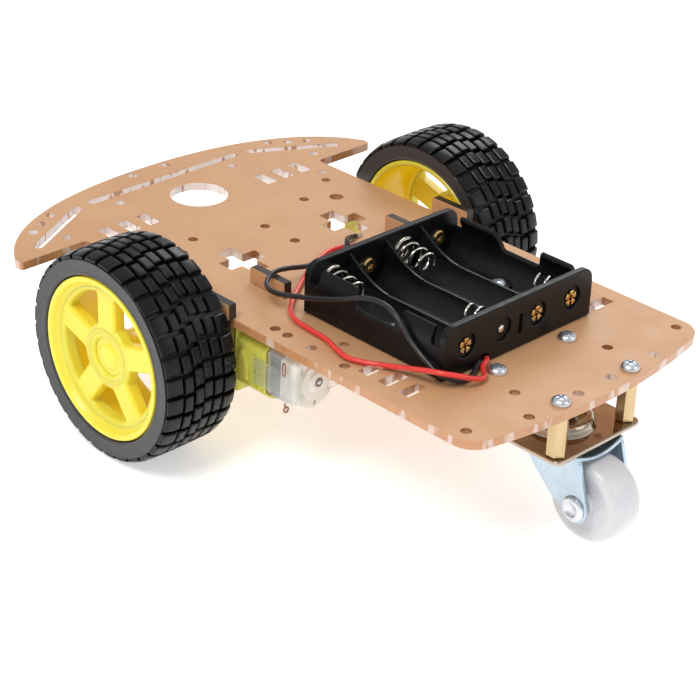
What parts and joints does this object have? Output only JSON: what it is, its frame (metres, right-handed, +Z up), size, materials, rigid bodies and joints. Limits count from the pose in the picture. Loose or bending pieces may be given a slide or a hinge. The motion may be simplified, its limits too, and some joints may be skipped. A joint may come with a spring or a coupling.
{
  "type": "two wheel robot car",
  "caption": "Flat robot chassis on two geared drive wheels and a tail caster, with an open battery box on its deck.",
  "frame": {"origin": "on the ground under the middle of the car, leads left aside", "axes": "+X forward towards the wide end of the deck, +Y to the car's left, +Z up"},
  "size_m": [0.2156, 0.1594, 0.066],
  "materials": {
    "deck_board": "brown paper faces on clear acrylic, matt",
    "bracket_board": "brown paper faces, scorched laser-cut edges",
    "tyre_rubber": "moulded black rubber, satin",
    "rim_plastic": "glossy yellow moulding",
    "gear_nylon": "white nylon",
    "gearbox_plastic": "lemon translucent moulding",
    "motor_steel": "bright pressed steel",
    "end_cap_plastic": "milky white moulding",
    "strap_clear": "clear moulding",
    "terminal_copper": "copper strip",
    "screw_zinc": "zinc plated",
    "box_plastic": "black satin moulding",
    "contact_nickel": "nickel plated spring wire and strip",
    "contact_brass": "brass rivet",
    "caster_nickel": "bright nickel plate",
    "fork_zinc": "blue-white zinc plate",
    "caster_nylon": "white nylon wheel",
    "standoff_brass": "pale brass",
    "lead_red": "red insulation",
    "lead_black": "black insulation"
  },
  "bodies": {
    "chassis": {"chassis_plate": "deck_board", "battery_box": "box_plastic", "contact_front_left": "contact_nickel", "contact_front_right": "contact_nickel", "contact_rear_middle": "contact_nickel", "contact_rear_positive": "contact_brass", "contact_rear_negative": "contact_nickel", "caster_plate": "caster_nickel", "caster_bearing": "caster_nickel", "lead_red": "lead_red", "lead_black": "lead_black", "gearbox_cover_left": "gearbox_plastic", "gearbox_case_left": "gearbox_plastic", "motor_can_left": "motor_steel", "motor_end_cap_left": "end_cap_plastic", "motor_strap_left": "strap_clear", "motor_terminal_side_left": "terminal_copper", "motor_terminal_lower_left": "terminal_copper", "bracket_outer_left": "bracket_board", "bracket_inner_left": "bracket_board", "bracket_screw_upper_left": "screw_zinc", "bracket_screw_lower_left": "screw_zinc", "box_screw_left": "screw_zinc", "standoff_front_left": "standoff_brass", "caster_screw_front_left": "screw_zinc", "standoff_rear_left": "standoff_brass", "caster_screw_rear_left": "screw_zinc", "gearbox_cover_right": "gearbox_plastic", "gearbox_case_right": "gearbox_plastic", "motor_can_right": "motor_steel", "motor_end_cap_right": "end_cap_plastic", "motor_strap_right": "strap_clear", "motor_terminal_side_right": "terminal_copper", "motor_terminal_lower_right": "terminal_copper", "bracket_outer_right": "bracket_board", "bracket_inner_right": "bracket_board", "bracket_screw_upper_right": "screw_zinc", "bracket_screw_lower_right": "screw_zinc", "box_screw_right": "screw_zinc", "standoff_front_right": "standoff_brass", "caster_screw_front_right": "screw_zinc", "standoff_rear_right": "standoff_brass", "caster_screw_rear_right": "screw_zinc"},
    "left_wheel": {"tyre_left": "tyre_rubber", "wheel_rim_left": "rim_plastic", "output_gear_left": "gear_nylon"},
    "left_reduction": {"reduction_gear_left": "gear_nylon"},
    "left_crown": {"crown_gear_left": "gear_nylon"},
    "left_rotor": {"motor_rotor_left": "motor_steel"},
    "right_wheel": {"tyre_right": "tyre_rubber", "wheel_rim_right": "rim_plastic", "output_gear_right": "gear_nylon"},
    "right_reduction": {"reduction_gear_right": "gear_nylon"},
    "right_crown": {"crown_gear_right": "gear_nylon"},
    "right_rotor": {"motor_rotor_right": "motor_steel"},
    "caster_swivel": {"caster_fork": "fork_zinc", "caster_axle": "screw_zinc"},
    "caster_roller": {"caster_wheel": "caster_nylon"}
  },
  "joints": [
    {"name": "left_wheel_spin", "type": "hinge", "parent": "chassis", "child": "left_wheel", "pos_m": [0.03, 0.0397, 0.033], "axis": [0, 1, 0], "continuous": true},
    {"name": "left_reduction_spin", "type": "hinge", "parent": "chassis", "child": "left_reduction", "pos_m": [0.021, 0.0397, 0.033], "axis": [0, 1, 0], "continuous": true},
    {"name": "left_crown_spin", "type": "hinge", "parent": "chassis", "child": "left_crown", "pos_m": [0.0138, 0.0397, 0.033], "axis": [0, 1, 0], "continuous": true},
    {"name": "left_rotor_spin", "type": "hinge", "parent": "chassis", "child": "left_rotor", "pos_m": [-0.005, 0.0397, 0.033], "axis": [1, 0, 0], "continuous": true},
    {"name": "right_wheel_spin", "type": "hinge", "parent": "chassis", "child": "right_wheel", "pos_m": [0.03, -0.0397, 0.033], "axis": [0, 1, 0], "continuous": true},
    {"name": "right_reduction_spin", "type": "hinge", "parent": "chassis", "child": "right_reduction", "pos_m": [0.021, -0.0397, 0.033], "axis": [0, 1, 0], "continuous": true},
    {"name": "right_crown_spin", "type": "hinge", "parent": "chassis", "child": "right_crown", "pos_m": [0.0138, -0.0397, 0.033], "axis": [0, 1, 0], "continuous": true},
    {"name": "right_rotor_spin", "type": "hinge", "parent": "chassis", "child": "right_rotor", "pos_m": [-0.005, -0.0397, 0.033], "axis": [1, 0, 0], "continuous": true},
    {"name": "caster_swivel_turn", "type": "hinge", "parent": "chassis", "child": "caster_swivel", "pos_m": [-0.07975, 0, 0.028], "axis": [0, 0, 1], "continuous": true},
    {"name": "caster_wheel_roll", "type": "hinge", "parent": "caster_swivel", "child": "caster_roller", "pos_m": [-0.0953, 0, 0.0125], "axis": [0, 1, 0], "continuous": true}
  ],
  "couplings": [
    {"joint": "left_reduction_spin", "follows": "left_wheel_spin", "ratio": -4},
    {"joint": "left_crown_spin", "follows": "left_wheel_spin", "ratio": 12},
    {"joint": "left_rotor_spin", "follows": "left_wheel_spin", "ratio": -48},
    {"joint": "right_reduction_spin", "follows": "right_wheel_spin", "ratio": -4},
    {"joint": "right_crown_spin", "follows": "right_wheel_spin", "ratio": 12},
    {"joint": "right_rotor_spin", "follows": "right_wheel_spin", "ratio": 48}
  ]
}
